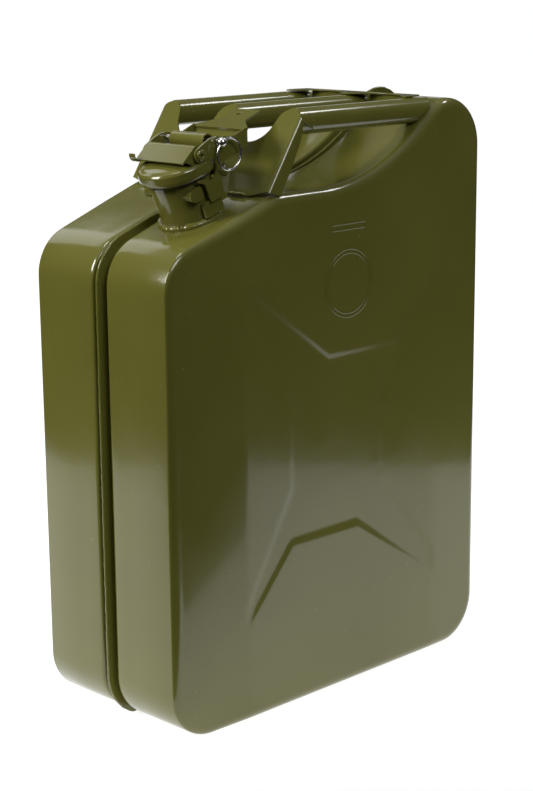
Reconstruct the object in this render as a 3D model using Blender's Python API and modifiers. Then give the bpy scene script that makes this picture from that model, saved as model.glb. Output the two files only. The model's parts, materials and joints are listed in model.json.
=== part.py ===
"""A 20 litre pressed-steel jerry can: two half shells, three-tube handle, offset neck and swing closure."""

import math

import bmesh
import bpy
from mathutils import Matrix, Vector

MM = 0.001
DEPTH = 345.0  # front face to rear face
WIDTH = 160.0  # across the two half shells
WALL = 1.0
EDGE_R = 9.0  # rounding between a wide face and the narrow wall
CORNER_R = 38.0
GROOVE_HALF = 7.0
GROOVE_DEEP = 9.0
SEAM_GAP = 0.2  # half the gap between the two seam flanges
FLANGE_OUT = 3.5  # how far the flanges stand out past the narrow walls
SHOULDER_DEG = 20.0
NOSE_R = 36.0
BEND_R = 40.0
RECESS_Z = 404.0
HUMP_Z = 463.0
HUMP_R = 40.0
HUMP_DEG = 43.0
NECK_X = 33.0
NECK_Y = -110.0
NECK_Z = 388.0
NECK_R = 23.0
NECK_WALL = 1.6
LID_R = 29.0
PIN_R = 2.5
PIN_HOLE_R = 2.62
HINGE_S, HINGE_N = 31.0, 24.0  # lid hinge, in the closure's own (s, n) frame
PIVOT_S, PIVOT_N = 2.0, 50.5  # lever pivot
SAFETY_S, SAFETY_N = 20.5, 53.0  # safety pin
EYE_X = 33.2
RING_R = 11.5
WIRE_R = 0.95
CHEEK_X = 27.65
SHEET = 1.5  # lever sheet
TUBE_R = 10.0
TUBE_X = 66.0
TUBE_Z = 454.5
TUBE_FRONT_Y = -39.4
TUBE_REAR_Y = 102.6
TUBE_REAR_DEG = 46.67
BRACKET_DEG = 33.0
BRACKET_SHEET = 1.4


def shift(x, y, z):
    return Matrix.Translation((x * MM, y * MM, z * MM))


def turn(degrees, axis):
    return Matrix.Rotation(math.radians(degrees), 4, axis)


# The closure's frame: X across, s up the shoulder to the rear, n along the neck's axis.
CLOSURE = shift(NECK_X, NECK_Y, NECK_Z) @ turn(SHOULDER_DEG, "X")
BRACKET = shift(0, -76.2, 401.6) @ turn(-BRACKET_DEG, "X")
# Lays a piece drawn in its own XY plane into a frame's YZ plane.
SIDEWAYS = Matrix(((0, 0, 1, 0), (1, 0, 0, 0), (0, 1, 0, 0), (0, 0, 0, 1)))


def closure_side(x):
    """A frame for pieces drawn in (s, n), their middle plane at x."""
    return CLOSURE @ shift(x, 0, 0) @ SIDEWAYS


def closure_cross(s, n):
    """A frame whose Z axis runs across the closure, through the point (s, n)."""
    return CLOSURE @ shift(0, s, n) @ turn(90, "Y")


def clear_scene():
    for obj in list(bpy.data.objects):
        bpy.data.objects.remove(obj, do_unlink=True)


def collection(name):
    made = bpy.data.collections.new(name)
    bpy.context.scene.collection.children.link(made)
    return made


def material(name, colour, metallic, roughness):
    made = bpy.data.materials.new(name)
    made.use_nodes = True
    shader = made.node_tree.nodes["Principled BSDF"]
    shader.inputs["Base Color"].default_value = (*colour, 1.0)
    shader.inputs["Metallic"].default_value = metallic
    shader.inputs["Roughness"].default_value = roughness
    return made


def link(name, data, where, look, matrix):
    """Links a mesh as one object in its own place. One without a material is a cutter."""
    obj = bpy.data.objects.new(name, data)
    obj.matrix_world = matrix
    where.objects.link(obj)
    if look:
        data.materials.append(look)
    else:
        obj.hide_render = True
        obj.display_type = "WIRE"
    return obj


def from_bmesh(name, mesh, where, look, matrix):
    """Links a bmesh as one object, with its points given in millimetres."""
    bmesh.ops.scale(mesh, vec=(MM, MM, MM), verts=mesh.verts)
    data = bpy.data.meshes.new(name)
    mesh.to_mesh(data)
    mesh.free()
    return link(name, data, where, look, matrix)


def path_curve(points, closed=False):
    """A curve object along straight runs between points in millimetres."""
    data = bpy.data.curves.new("path", "CURVE")
    data.dimensions = "3D"
    line = data.splines.new("POLY")
    line.points.add(len(points) - 1)
    for place, spot in zip(line.points, points):
        place.co = (*(Vector(spot).to_3d() * MM), 1.0)
    line.use_cyclic_u = closed
    curve = bpy.data.objects.new("path", data)
    bpy.context.scene.collection.objects.link(curve)
    return curve


def from_curve(name, curve, where, look, matrix):
    """Swaps a curve object for a mesh object whose caps are welded to its sides."""
    graph = bpy.context.evaluated_depsgraph_get()
    data = bpy.data.meshes.new_from_object(curve.evaluated_get(graph))
    bpy.data.objects.remove(curve, do_unlink=True)
    welded = bmesh.new()
    welded.from_mesh(data)
    bmesh.ops.remove_doubles(welded, verts=welded.verts, dist=0.001 * MM)
    bmesh.ops.recalc_face_normals(welded, faces=welded.faces)
    welded.to_mesh(data)
    welded.free()
    data.materials.clear()
    return link(name, data, where, look, matrix)


def flat(name, outline, thick, where, look, matrix):
    """A flat outline in the piece's own XY plane, with half its thickness on each side."""
    curve = path_curve(outline, closed=True)
    curve.data.dimensions = "2D"
    curve.data.fill_mode = "BOTH"
    curve.data.extrude = thick / 2 * MM
    return from_curve(name, curve, where, look, matrix)


def bent_sheet(name, path, thick, width, where, look, matrix):
    """A sheet bent along a path in its own XY plane, its width along its own Z axis."""
    curve = path_curve(path)
    curve.data.extrude = width / 2 * MM
    sheet = from_curve(name, curve, where, look, matrix)
    skin = sheet.modifiers.new("Sheet", "SOLIDIFY")
    skin.thickness = thick * MM
    skin.offset = 0.0
    skin.use_even_offset = True
    return sheet


def turned(name, profile, steps, where, look, matrix):
    """A (radius, height) profile turned about its own Z axis. Its outer side runs from top to bottom."""
    mesh = bmesh.new()
    points = [mesh.verts.new((radius, 0, height)) for radius, height in profile]
    for first, second in zip(points, points[1:]):
        mesh.edges.new((first, second))
    if profile[0][0] > 0:
        mesh.edges.new((points[-1], points[0]))
    obj = from_bmesh(name, mesh, where, look, matrix)
    screw = obj.modifiers.new("Turn", "SCREW")
    screw.steps = steps
    screw.render_steps = steps
    screw.use_merge_vertices = True
    screw.merge_threshold = 0.00001
    return obj


def cylinder(radius, length, cutters, matrix, segments=24):
    """A round cutter, centred on its own Z axis."""
    mesh = bmesh.new()
    bmesh.ops.create_cone(
        mesh, cap_ends=True, segments=segments, radius1=radius, radius2=radius, depth=length
    )
    return from_bmesh("cutter", mesh, cutters, None, matrix)


def block(size, cutters, matrix):
    """A cube cutter."""
    mesh = bmesh.new()
    bmesh.ops.create_cube(mesh, size=size)
    return from_bmesh("cutter", mesh, cutters, None, matrix)


def evaluate(obj):
    """Swaps an object's mesh for its evaluated one."""
    graph = bpy.context.evaluated_depsgraph_get()
    graph.update()
    data = bpy.data.meshes.new_from_object(obj.evaluated_get(graph))
    obj.modifiers.clear()
    old = obj.data
    obj.data = data
    bpy.data.meshes.remove(old)


def combine(obj, others, operation):
    """Joins or cuts the object with others, which are used up."""
    for other in others:
        step = obj.modifiers.new("Join", "BOOLEAN")
        step.operation = operation
        step.solver = "EXACT"
        step.object = other
        evaluate(obj)
        bpy.data.objects.remove(other, do_unlink=True)
    return obj


def arc(centre, radius, start, end, steps):
    """Points and outward directions on an arc, angles in degrees; a negative radius faces inwards."""
    found = []
    for k in range(steps + 1):
        a = math.radians(start + (end - start) * k / steps)
        out = Vector((math.cos(a), math.sin(a)))
        point = Vector(centre) + abs(radius) * out
        found.append((point, out if radius > 0 else -out))
    return found


def curl(centre, radius, start, end, steps):
    """The points alone of an arc."""
    return [tuple(point) for point, _ in arc(centre, radius, start, end, steps)]


def side_profile():
    """The can's outline seen from its wide side, as (y, z) points with outward directions."""
    rear = DEPTH / 2
    end = rear - CORNER_R
    hump = (rear - HUMP_R, HUMP_Z - HUMP_R)
    rise = math.radians(HUMP_DEG)
    top = HUMP_Z - HUMP_R + HUMP_R * math.cos(rise)
    dip_r = (top - RECESS_Z) / (1 - math.cos(rise))
    dip_y = hump[0] - HUMP_R * math.sin(rise) - dip_r * math.sin(rise)
    tilt = math.radians(SHOULDER_DEG)
    foot_y = NECK_Y + (RECESS_Z - NECK_Z) / math.tan(tilt)
    bend_y = foot_y + BEND_R * math.tan(tilt / 2)
    nose_y = -rear + NOSE_R
    slope_y = nose_y - NOSE_R * math.sin(tilt)
    nose_z = NECK_Z + math.tan(tilt) * (slope_y - NECK_Y) - NOSE_R * math.cos(tilt)
    found = []
    found += arc((-end, CORNER_R), CORNER_R, 180, 270, 7)
    found += [(Vector((y, 0.0)), Vector((0, -1))) for y in (-60.0, 0.0, 60.0)]
    found += arc((end, CORNER_R), CORNER_R, 270, 360, 7)
    found += [(Vector((rear, z)), Vector((1, 0))) for z in (130.0, 230.0, 330.0)]
    found += arc(hump, HUMP_R, 0, 90 + HUMP_DEG, 11)
    found += arc((dip_y, RECESS_Z + dip_r), -dip_r, HUMP_DEG - 90, -90, 7)[1:]
    found += arc((bend_y, RECESS_Z - BEND_R), BEND_R, 90, 90 + SHOULDER_DEG, 3)
    found += arc((nose_y, nose_z), NOSE_R, 90 + SHOULDER_DEG, 180, 6)
    found += [(Vector((-rear, z)), Vector((-1, 0))) for z in (260.0, 180.0, 100.0)]
    return found


def flange_height(point, out):
    """How far the seam flange stands out past the wall at this point of the outline."""
    y, z = point
    if out.y < -0.999:
        return -1.0
    if z < CORNER_R:
        return min(FLANGE_OUT, (z - 0.4) / max(-out.y, 0.05))
    if z < 330.0:
        return FLANGE_OUT
    if y > 0:
        hill = 1 - ((y - 132.0) / 24.0) ** 2
        return max(-1.0, 7.0 * hill) if out.y > 0 else -1.0
    if z < 384.0:
        return FLANGE_OUT
    return 0.5 if y < -60.0 else -1.0


def shell_rings(side):
    """The skin's rings, from the wide face to the seam: (x, inset from the outline) per ring."""
    half = WIDTH / 2
    rings = []
    for deg in (0, 18, 36, 54, 72, 90):
        a = math.radians(deg)
        rings.append((half - EDGE_R + EDGE_R * math.cos(a), EDGE_R - EDGE_R * math.sin(a)))
    rings += [(GROOVE_HALF + 2.5, 0.0), (GROOVE_HALF + 0.7, 0.7), (GROOVE_HALF, 2.5)]
    rings += [(GROOVE_HALF, GROOVE_DEEP), (SEAM_GAP + WALL, GROOVE_DEEP)]
    return [(side * x, inset) for x, inset in rings]


def half_shell(name, side, where, look):
    """One pressed half: a skin lofted from the wide face round to the seam flange, with its wall inside."""
    outline = side_profile()
    mesh = bmesh.new()
    rows = []
    for x, inset in shell_rings(side):
        rows.append([mesh.verts.new((x, *(point - out * inset))) for point, out in outline])
    seam = side * (SEAM_GAP + WALL)
    rows.append(
        [mesh.verts.new((seam, *(point + out * flange_height(point, out)))) for point, out in outline]
    )
    mesh.faces.new(rows[0])
    for lower, upper in zip(rows, rows[1:]):
        for i in range(len(outline)):
            j = (i + 1) % len(outline)
            mesh.faces.new((lower[i], lower[j], upper[j], upper[i]))
    bmesh.ops.recalc_face_normals(mesh, faces=mesh.faces)
    widest = max(mesh.faces, key=lambda face: face.calc_area())
    if widest.normal.x * side < 0:
        bmesh.ops.reverse_faces(mesh, faces=mesh.faces)
    obj = from_bmesh(name, mesh, where, look, Matrix())
    skin = obj.modifiers.new("Wall", "SOLIDIFY")
    skin.thickness = WALL * MM
    skin.offset = -1.0
    skin.use_even_offset = True
    return obj


def shells(where, cutters, look):
    half_shell("half_shell_left", -1, where, look)
    near = half_shell("half_shell_right", 1, where, look)
    combine(near, [cylinder(NECK_R + 0.4, 28.0, cutters, CLOSURE, 32)], "DIFFERENCE")


def neck(where, cutters, look):
    """The filler neck with its rolled lip, and the lug on each side that the lever's claws pull on."""
    lip = NECK_R + 1.5
    inner = NECK_R - NECK_WALL
    profile = [(NECK_R, 37.0), (lip, 36.2), (lip, 34.6), (NECK_R, 33.5), (NECK_R, -8.0)]
    profile += [(inner, -8.0), (inner, 36.0)]
    tube = turned("neck", profile, 32, where, look, CLOSURE)
    lug = [(-4.0, 18.6), (-3.2, 29.4), (-12.5, 30.0), (-17.0, 27.5)]
    lug += [(-18.6, 24.0), (-17.4, 20.6), (-13.5, 18.4)]
    lugs = [flat("lug", lug, 10.7, cutters, None, closure_side(x)) for x in (-20.85, 20.85)]
    combine(tube, lugs, "UNION")
    return combine(tube, [cylinder(inner, 60.0, cutters, CLOSURE @ shift(0, 0, 4), 32)], "DIFFERENCE")


def neck_weld(where, look):
    profile = [(23.3, 3.3), (24.9, 2.9), (26.2, 1.6), (26.4, 0.35), (23.3, 0.35)]
    return turned("neck_weld", profile, 32, where, look, CLOSURE)


def neck_bracket(where, cutters, look):
    """The strap round the neck, its two side plates and the two ears that hold the hinge pin."""
    strap = [(24.8, 15.0), (24.8, 3.8), (23.25, 3.8), (23.25, 15.0)]
    ring = turned("neck_bracket", strap, 32, where, look, CLOSURE)
    plate = [(-6.8, 4.2), (11.5, 4.2), (11.5, 16.0), (-4.5, 16.0), (-6.8, 13.5)]
    ear = [(20.4, 4.4), (27.0, 4.4), (35.8, 20.0), (36.2, 25.5), (33.0, 29.2)]
    ear += [(29.0, 29.2), (25.6, 25.0), (20.4, 14.4)]
    pieces = [flat("plate", plate, 2.1, cutters, None, closure_side(x)) for x in (-25.15, 25.15)]
    pieces += [flat("ear", ear, 1.6, cutters, None, closure_side(x)) for x in (-13.0, 13.0)]
    combine(ring, pieces, "UNION")
    bore = cylinder(PIN_HOLE_R, 40.0, cutters, closure_cross(HINGE_S, HINGE_N))
    return combine(ring, [bore], "DIFFERENCE")


def breather_tube(where, look):
    """A thin pipe from the neck's mouth to the air space in the rear hump."""
    route = [(-103, 372), (-82, 366), (-30, 376), (60, 388), (108, 410), (126, 440)]
    curve = path_curve([(NECK_X, y, z) for y, z in route])
    curve.data.bevel_depth = 4.0 * MM
    curve.data.bevel_resolution = 1
    curve.data.use_fill_caps = True
    return from_curve("breather_tube", curve, where, look, Matrix())


def hinge_pin(where, look):
    """A rivet through the ears, with a head on each end."""
    profile = [(0, 15.6), (3.2, 15.6), (3.9, 14.9), (3.9, 14.1), (PIN_R, 14.1)]
    profile += [(PIN_R, -14.1), (3.9, -14.1), (3.9, -14.9), (3.2, -15.6), (0, -15.6)]
    return turned("hinge_pin", profile, 20, where, look, closure_cross(HINGE_S, HINGE_N))


def lid(where, look):
    """The pressed cap: domed on top, open below, with a short skirt."""
    profile = [(0, 47.6), (9, 47.4), (17, 46.8), (22.5, 45.3), (26.2, 43.0)]
    profile += [(28.4, 40.4), (LID_R, 38.4), (LID_R, 36.0), (LID_R - 1.1, 36.0)]
    profile += [(LID_R - 1.2, 38.2), (27.3, 39.8), (25.3, 41.9), (21.8, 44.0)]
    profile += [(16.5, 45.5), (9, 46.2), (0, 46.4)]
    return turned("lid", profile, 36, where, look, CLOSURE)


def lid_gasket(where, look):
    profile = [(25.0, 40.8), (27.3, 38.2), (27.3, 34.3), (25.4, 34.3), (25.4, 37.6)]
    profile += [(19.6, 37.6), (19.6, 40.8)]
    return turned("lid_gasket", profile, 32, where, look, CLOSURE)


def gasket_retainer(where, look):
    """The plate under the lid that holds the gasket, on its short stem."""
    profile = [(0, 46.0), (4.0, 45.8), (4.0, 39.8), (18.6, 39.8), (19.3, 38.2)]
    profile += [(19.0, 37.8), (18.2, 38.4), (0, 38.4)]
    return turned("gasket_retainer", profile, 24, where, look, CLOSURE)


def lid_saddle(where, cutters, look):
    """The folded plate over the lid that carries the lever's pivot and rolls round the hinge pin."""
    path = [(-13.6, 50.6), (1.6, 57.0), (5.6, 55.6), (7.4, 50.2), (10.0, 49.6)]
    top = bent_sheet("lid_saddle", path, 1.4, 50.8, where, look, closure_side(0))
    flange = [(-11.0, 50.6), (-6.0, 45.8), (6.2, 45.8), (8.2, 48.5), (6.0, 54.8), (1.6, 56.6)]
    pieces = [flat("flange", flange, 1.4, cutters, None, closure_side(x)) for x in (-24.7, 24.7)]
    strap = [(7.0, 49.6), (22.0, 48.9), (28.6, 45.9), (31.6, 40.0), (HINGE_S + 3.4, 30.0)]
    strap += curl((HINGE_S, HINGE_N), 3.4, 20, -250, 13)
    pieces.append(bent_sheet("strap", strap, 1.4, 23.6, cutters, None, closure_side(0)))
    wing = curl((-13.0, 54.6), 4.6, 262, 150, 6)
    pieces.append(bent_sheet("wing", wing, 1.3, 5.4, cutters, None, closure_side(-23.5)))
    combine(top, pieces, "UNION")
    bore = cylinder(PIN_HOLE_R, 80.0, cutters, closure_cross(PIVOT_S, PIVOT_N))
    return combine(top, [bore], "DIFFERENCE")


def lever_pin(where, look):
    """A hollow rivet across the saddle and the cheeks."""
    profile = [(PIN_R, 28.8), (PIN_R, -28.8), (4.1, -28.8), (4.1, -29.6), (3.0, -30.2)]
    profile += [(1.3, -29.8), (1.3, 29.8), (3.0, 30.2), (4.1, 29.6), (4.1, 28.8)]
    return turned("lever_pin", profile, 20, where, look, closure_cross(PIVOT_S, PIVOT_N))


def cheek_outline():
    """One lever cheek: eye at the front, leg with a claw below, web at the rear."""
    eye = curl((PIVOT_S, PIVOT_N), 5.5, 250, 105, 7)
    top = [(9.0, 57.4), (16.0, 58.0), (21.0, 56.8), (31.0, 52.4), (38.0, 50.2)]
    top += [(51.6, 51.0), (47.4, 38.6), (35.0, 37.0), (21.0, 37.2), (15.8, 34.0)]
    leg = [(14.4, 21.0), (12.4, 14.2), (-0.6, 14.6), (-1.8, 29.4), (-7.6, 33.6)]
    leg += [(-7.2, 34.8), (-1.0, 33.0), (3.2, 30.4), (7.4, 30.2), (10.6, 32.4)]
    leg += [(12.8, 36.2), (13.0, 42.6), (8.0, 44.8)]
    return eye + top + leg


def lever(where, cutters, look):
    """The lever's plate and thumb tab, its two cheeks and the web that joins them."""
    plan = [(-28.0, 49.0), (28.0, 49.0), (28.0, 52.0), (13.6, 64.0), (13.2, 80.5)]
    plan += [(11.8, 82.0), (-11.8, 82.0), (-13.2, 80.5), (-13.6, 64.0), (-28.0, 52.0)]
    plate = flat("lever", plan, SHEET, where, look, CLOSURE @ shift(0, 0, 49.15))
    cheek = cheek_outline()
    parts = [flat("cheek", cheek, SHEET, cutters, None, closure_side(x)) for x in (-CHEEK_X, CHEEK_X)]
    web = [(51.6, 49.2), (47.2, 43.8), (45.2, 40.0)]
    parts.append(bent_sheet("web", web, SHEET, 55.2, cutters, None, closure_side(0)))
    combine(plate, parts, "UNION")
    holes = [
        cylinder(PIN_HOLE_R, 80.0, cutters, closure_cross(PIVOT_S, PIVOT_N)),
        cylinder(PIN_HOLE_R, 80.0, cutters, closure_cross(SAFETY_S, SAFETY_N)),
        cylinder(1.7, 10.0, cutters, CLOSURE @ shift(-2.0, 73.0, 49.0), 16),
    ]
    return combine(plate, holes, "DIFFERENCE")


def pin_sleeve(where, look):
    """The rolled sheet round the middle of the safety pin, open underneath."""
    path = curl((SAFETY_S, SAFETY_N - 0.2), 4.9, 212, -32, 16)
    return bent_sheet("pin_sleeve", path, 1.3, 36.0, where, look, closure_side(0))


def eye_frame():
    """The safety pin's eye: its own Z axis runs along the ring's wire where the two meet."""
    centre = CLOSURE @ Vector((EYE_X * MM, SAFETY_S * MM, SAFETY_N * MM))
    return Matrix.Translation(centre) @ turn(-52.3, "X")


def safety_pin(where, cutters, look):
    profile = [(0, 36.9), (2.4, 36.4), (3.5, 34.8), (3.7, EYE_X), (3.5, 31.6), (3.0, 30.2)]
    profile += [(2.3, 29.4), (2.3, -29.9), (1.6, -30.8), (0, -30.8)]
    pin = turned("safety_pin", profile, 20, where, look, closure_cross(SAFETY_S, SAFETY_N))
    return combine(pin, [cylinder(1.65, 18.0, cutters, eye_frame(), 16)], "DIFFERENCE")


def pull_ring(where, look):
    """The wire ring that hangs from the safety pin's eye, flat against the near cheek."""
    bpy.ops.mesh.primitive_torus_add(
        major_radius=RING_R * MM, minor_radius=WIRE_R * MM, major_segments=28, minor_segments=8
    )
    ring = bpy.context.object
    ring.name = "pull_ring"
    ring.matrix_world = eye_frame() @ shift(0, RING_R, 0) @ turn(90, "Y")
    for home in list(ring.users_collection):
        home.objects.unlink(ring)
    where.objects.link(ring)
    ring.data.materials.append(look)
    return ring


def handle_tube(name, x, where, cutters, look):
    """One grip tube, its ends cut on a slant to meet the bracket and the hump."""
    middle = (TUBE_FRONT_Y + TUBE_REAR_Y) / 2
    reach = 86.0
    profile = [(TUBE_R, reach), (TUBE_R, -reach), (TUBE_R - 1.5, -reach), (TUBE_R - 1.5, reach)]
    tube = turned(name, profile, 20, where, look, shift(x, middle, TUBE_Z) @ turn(-90, "X"))
    size = 60.0
    front = shift(x, TUBE_FRONT_Y, TUBE_Z) @ turn(-BRACKET_DEG, "X") @ shift(0, -size / 2, 0)
    rear = shift(x, TUBE_REAR_Y, TUBE_Z) @ turn(-TUBE_REAR_DEG, "X") @ shift(0, size / 2, 0)
    return combine(tube, [block(size, cutters, front), block(size, cutters, rear)], "DIFFERENCE")


def bracket_outline():
    """The front bracket's sheet in its own plane: three lobes over the tube ends, scallops between."""
    outline = []
    for x, start, end in ((TUBE_X, -12, 152), (0.0, 28, 152), (-TUBE_X, 28, 192)):
        outline += curl((x, 62.0), 12.4, start, end, 8)
        if x > -TUBE_X:
            outline += curl((x - TUBE_X / 2, 65.0), 20.4, -15, -165, 6)
    foot = [(77.5, 40.0), (77.0, 6.0), (72.0, 4.8), (66.0, 3.2), (56.0, 1.2)]
    outline += [(-x, t) for x, t in foot]
    return outline + foot[::-1]


def handle_bracket(where, cutters, look):
    """The front handle bracket, leaning back, with a flange folded back at each side."""
    lay = BRACKET @ shift(0, BRACKET_SHEET / 2, 0) @ turn(90, "X")
    sheet = flat("handle_bracket", bracket_outline(), BRACKET_SHEET, where, look, lay)
    fold = [(0.2, 6.0), (12.0, 8.8), (10.5, 30.0), (4.5, 56.0), (0.2, 60.0)]
    sides = [BRACKET @ shift(x, 0, 0) @ SIDEWAYS for x in (-76.7, 76.7)]
    flanges = [flat("flange", fold, BRACKET_SHEET, cutters, None, side) for side in sides]
    return combine(sheet, flanges, "UNION")


def handle_rear_plate(where, cutters, look):
    """The plate that ties the three tubes together where they meet the rear hump."""
    outline = []
    for x in (-TUBE_X, 0.0, TUBE_X):
        outline += [(x - 8.5, 93.5), (x, 92.0), (x + 8.5, 93.5)]
        if x < TUBE_X:
            scallop = arc((x + TUBE_X / 2, 0.0), 20.0, 155, 25, 6)
            outline += [(point.x, 96.0 + 0.55 * point.y) for point, _ in scallop]
    outline += [(74.0, 104.0), (72.0, 112.0), (-72.0, 112.0), (-74.0, 104.0)]
    plate = flat("handle_rear_plate", outline, 1.2, where, look, shift(0, 0, 465.6))
    lip = [(110.6, 459.4), (112.0, 459.4), (112.0, 465.6), (110.6, 465.6)]
    middles = [shift(x, 0, 0) @ SIDEWAYS for x in (-32.75, 32.75)]
    lips = [flat("lip", lip, 43.5, cutters, None, middle) for middle in middles]
    return combine(plate, lips, "UNION")


def hang(name, matrix, pieces, where):
    """Parents pieces to an empty that sits on their joint's axis."""
    axis = bpy.data.objects.new(name, None)
    axis.empty_display_size = 10 * MM
    axis.matrix_world = matrix
    where.objects.link(axis)
    for piece in pieces:
        piece.parent = axis
        piece.matrix_parent_inverse = matrix.inverted()


def build():
    clear_scene()
    can = collection("jerry_can")
    cutters = collection("cutters")
    paint = material("olive_paint", (0.105, 0.105, 0.024), 0.0, 0.3)
    steel = material("bare_steel", (0.62, 0.62, 0.6), 1.0, 0.3)
    rubber = material("black_rubber", (0.012, 0.012, 0.012), 0.0, 0.6)
    shells(can, cutters, paint)
    neck(can, cutters, paint)
    neck_weld(can, paint)
    neck_bracket(can, cutters, paint)
    breather_tube(can, paint)
    hinge_pin(can, paint)
    for name, x in (("left", -TUBE_X), ("middle", 0.0), ("right", TUBE_X)):
        handle_tube(f"handle_tube_{name}", x, can, cutters, paint)
    handle_bracket(can, cutters, paint)
    handle_rear_plate(can, cutters, paint)
    cap = [lid(can, paint), lid_gasket(can, rubber), gasket_retainer(can, paint)]
    cap += [lid_saddle(can, cutters, paint), lever_pin(can, paint)]
    hang("lid_axis", CLOSURE @ shift(0, HINGE_S, HINGE_N), cap, can)
    latch = [lever(can, cutters, paint), pin_sleeve(can, paint)]
    hang("lever_axis", CLOSURE @ shift(0, PIVOT_S, PIVOT_N), latch, can)
    pin = safety_pin(can, cutters, steel)
    hang("safety_pin_axis", CLOSURE @ shift(0, SAFETY_S, SAFETY_N), [pin], can)
    hang("ring_axis", eye_frame(), [pull_ring(can, steel)], can)
    for obj in can.objects:
        if obj.type == "MESH":
            obj.data.shade_smooth()
            obj.data.set_sharp_from_angle(angle=math.radians(40))


build()
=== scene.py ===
import json
import math

import bmesh
import bpy
from mathutils import Matrix, Vector, noise

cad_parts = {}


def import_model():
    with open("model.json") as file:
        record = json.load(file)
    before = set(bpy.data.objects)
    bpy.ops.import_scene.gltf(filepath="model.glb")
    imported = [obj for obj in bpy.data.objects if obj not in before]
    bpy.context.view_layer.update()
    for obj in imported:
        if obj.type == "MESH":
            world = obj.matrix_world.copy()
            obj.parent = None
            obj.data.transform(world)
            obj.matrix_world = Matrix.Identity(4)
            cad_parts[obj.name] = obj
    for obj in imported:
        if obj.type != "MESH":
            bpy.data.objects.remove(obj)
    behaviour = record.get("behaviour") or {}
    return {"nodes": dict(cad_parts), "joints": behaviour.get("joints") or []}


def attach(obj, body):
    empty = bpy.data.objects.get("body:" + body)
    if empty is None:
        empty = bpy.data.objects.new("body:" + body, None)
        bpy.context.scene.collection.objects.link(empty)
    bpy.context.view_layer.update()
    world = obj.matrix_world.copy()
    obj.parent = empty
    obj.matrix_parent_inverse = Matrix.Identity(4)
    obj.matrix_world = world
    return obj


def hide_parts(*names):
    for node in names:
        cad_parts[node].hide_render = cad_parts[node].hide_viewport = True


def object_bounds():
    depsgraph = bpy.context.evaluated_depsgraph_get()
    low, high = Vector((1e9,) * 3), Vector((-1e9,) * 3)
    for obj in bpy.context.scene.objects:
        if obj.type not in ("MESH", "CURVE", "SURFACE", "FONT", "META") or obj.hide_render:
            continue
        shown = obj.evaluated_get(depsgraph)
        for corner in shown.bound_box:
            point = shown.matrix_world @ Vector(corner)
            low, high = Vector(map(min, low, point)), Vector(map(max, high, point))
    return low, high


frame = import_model()
cad_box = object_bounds()

MM = 0.001
AXES = {joint["name"]: joint for joint in frame["joints"]}
HIGH = cad_box[1] / MM

# The can's shell, in millimetres. The seam flange gives the box its depth.
FLANGE_OUT = 3.5
HALF_WIDTH = HIGH.x
HALF_DEPTH = HIGH.y - FLANGE_OUT
CORNER_R = 38.0
EDGE_R = 9.0
WALL = 1.0
GROOVE_HALF = 7.0
GROOVE_DEEP = 9.0
SEAM_GAP = 0.2
SHOULDER_DEG = 20.0
NOSE_R = 36.0
BEND_R = 40.0
RECESS_Z = 404.0
HUMP_Z = 463.0
HUMP_R = 40.0
HUMP_DEG = 43.0
LIP_R = 3.0
BEAD_R = 1.3

# The closure's own (s, n) frame: s up the shoulder, n along the neck's axis.
NECK_R = 23.0
NECK_WALL = 1.6
FOOT_R = 21.6
LID_R = 29.0
PIN_R = 2.5
PIN_HOLE_R = 2.62
HINGE_S, HINGE_N = 31.0, 24.0
PIVOT_S, PIVOT_N = 2.0, 50.5
SAFETY_S, SAFETY_N = 20.5, 53.0
EYE_X = 33.2
RING_R = 11.5
WIRE_R = 0.95
CHEEK_X = 27.65
SHEET = 1.5
SMOOTH_STEPS = 96

# The handle.
TUBE_R = 10.0
TUBE_X = 66.0
TUBE_Z = 454.5
TUBE_FRONT_Y = -39.4
TUBE_REAR_Y = 102.6
TUBE_REAR_DEG = 46.67
BRACKET_DEG = 33.0
BRACKET_SHEET = 1.4

# The wide face: two soft creases, and a recessed cross that leaves four raised panels round it.
FACE_X = HALF_WIDTH - 0.4
CREASES = ((-100.0, -1, 5.0), (113.0, 1, 3.0))
CROSS_DEEP = 1.1
CROSS_SOFT = 4.5
CROSS = [(-100, 338), (-11, 274), (66, 274), (113, 322), (113, 306), (48, 226), (48, 165)]
CROSS += [(113, 92), (113, 72), (21, 134), (-53, 134), (-100, 80), (-100, 94), (-52.5, 176)]
CROSS += [(-52.5, 232), (-100, 322)]
MARK_Y, MARK_Z = 10.5, 328.6
FACE_CENTRE = Vector((5.0, 204.0))

# The seam flange fades out up the rear and above the shoulder, and has a low dome on the hump.
REAR_FADE_Z = 330.0
FRONT_FADE_Z = 384.0
DOME_Y = 132.0
DOME_HALF = 31.0
DOME_HIGH = 6.4

# Where the camera stands, in metres, and how it is turned, in degrees.
CAMERA_AT = (1.0379, -1.0236, 0.5712)
CAMERA_AZIMUTH = 45.32
CAMERA_DOWN = 13.35
CAMERA_ROLL = -0.52
CAMERA_LENS = 84.2

# The floor's white band, seen from the can's centre.
BAND_DEG = 48.0
BAND_LEFT = -0.88
BAND_RIGHT = 0.73
BAND_FRONT = 0.245
BAND_BACK = 3.0


def shift(x, y, z):
    return Matrix.Translation((x * MM, y * MM, z * MM))


def turn(degrees, axis):
    return Matrix.Rotation(math.radians(degrees), 4, axis)


HINGE_AT = Vector(AXES["lid_swing"]["pos_m"])
CLOSURE = Matrix.Translation(HINGE_AT) @ turn(SHOULDER_DEG, "X") @ shift(0, -HINGE_S, -HINGE_N)
_, NECK_Y, NECK_Z = CLOSURE.translation / MM
BRACKET = shift(0, -76.2, 401.6) @ turn(-BRACKET_DEG, "X")
# Lays a piece drawn in its own XY plane into a frame's YZ plane.
SIDEWAYS = Matrix(((0, 0, 1, 0), (1, 0, 0, 0), (0, 1, 0, 0), (0, 0, 0, 1)))


def closure_side(x):
    return CLOSURE @ shift(x, 0, 0) @ SIDEWAYS


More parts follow.
